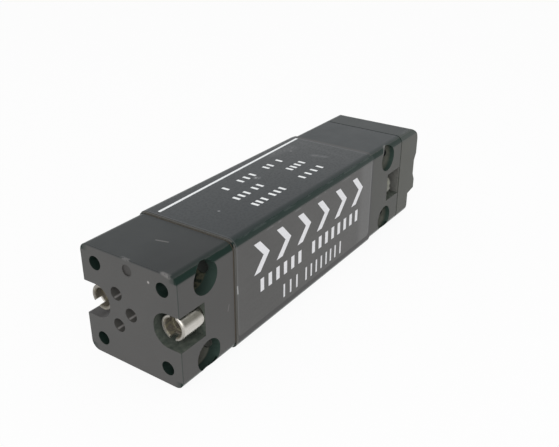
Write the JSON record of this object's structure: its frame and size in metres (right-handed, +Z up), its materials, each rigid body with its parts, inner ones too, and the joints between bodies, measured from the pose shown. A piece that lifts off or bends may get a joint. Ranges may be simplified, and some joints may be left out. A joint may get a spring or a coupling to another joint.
{
  "type": "vacuum ejector",
  "caption": "Square-section vacuum ejector: port blocks on both ends of a long body, side notches with slotted sleeve nuts, round side pockets and an exhaust cap.",
  "frame": {"origin": "under the middle of the ejector, on the plane of the body's underside that it rests on", "axes": "+X runs along the ejector from the interface face to the exhaust cap, +Z is up, and -Y is the side with the main label"},
  "size_m": [0.1222, 0.0308, 0.0308],
  "materials": {
    "near_block_plastic": "satin moulded black",
    "far_block_plastic": "satin moulded black",
    "body_plastic": "satin moulded black",
    "cap_plastic": "satin moulded black",
    "label": "satin film with plain white print",
    "fibre_gasket": "brown fibre sheet",
    "rubber_gasket": "matt black",
    "nickel": "satin nickel plate",
    "black_steel": "black oxide",
    "brass": "turned",
    "diffuser_metal": "turned",
    "seal_rubber": "matt black",
    "silencer_felt": "porous felt"
  },
  "bodies": {
    "root": {"near_block": "near_block_plastic", "near_gasket": "fibre_gasket", "ejector_body": "body_plastic", "label_film": "label", "far_gasket": "fibre_gasket", "far_block": "far_block_plastic", "cap_gasket": "rubber_gasket", "end_cap": "cap_plastic", "tie_screw_left": "nickel", "tie_screw_right": "nickel", "sleeve_nut_left": "nickel", "sleeve_nut_right": "nickel", "cap_screw_1": "black_steel", "cap_screw_2": "black_steel", "cap_screw_3": "black_steel", "cap_screw_4": "black_steel", "motive_nozzle": "brass", "nozzle_seal": "seal_rubber", "diffuser": "diffuser_metal", "diffuser_inlet_seal": "seal_rubber", "diffuser_outlet_seal": "seal_rubber", "silencer": "silencer_felt"}
  },
  "joints": []
}
